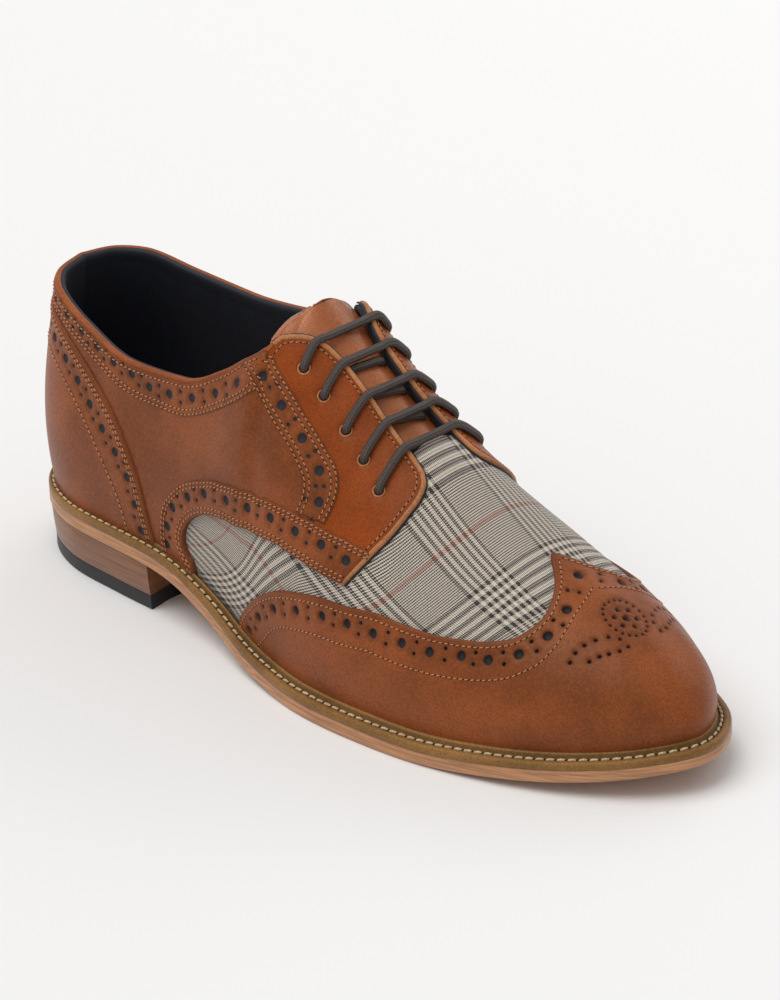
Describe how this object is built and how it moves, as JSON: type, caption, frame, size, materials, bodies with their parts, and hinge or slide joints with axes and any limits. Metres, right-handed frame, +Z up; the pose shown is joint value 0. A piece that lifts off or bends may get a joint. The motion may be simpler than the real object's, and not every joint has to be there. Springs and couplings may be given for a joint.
{
  "type": "brogue shoe",
  "caption": "Men's wingtip brogue for the right foot with a leather and check cloth upper, open lacing, a stitched welt and a stacked heel.",
  "frame": {"origin": "on the floor under the centre of the bounding box", "axes": "+X to the toe, +Z up, -Y to the outside of the right foot"},
  "size_m": [0.3027, 0.1066, 0.122],
  "materials": {
    "top_lift": "matt black rubber",
    "heel": "stacked leather, waxed edge",
    "outsole": "veg-tanned sole leather, waxed edge",
    "welt": "dark brown welting, satin",
    "insole": "dark navy sock, matt",
    "upper": "wool check cloth over a dark lining",
    "toe_cap": "burnished tan calf, satin",
    "quarter_lateral": "burnished tan calf, satin",
    "quarter_medial": "burnished tan calf, satin",
    "counter": "burnished tan calf, satin",
    "tongue": "burnished tan calf, satin",
    "lace": "dark brown waxed cord"
  },
  "bodies": {
    "root": {"top_lift": "top_lift", "heel": "heel", "outsole": "outsole", "welt": "welt", "insole": "insole", "upper": "upper", "toe_cap": "toe_cap", "quarter_lateral": "quarter_lateral", "quarter_medial": "quarter_medial", "counter": "counter", "tongue": "tongue", "lace": "lace"}
  },
  "joints": []
}
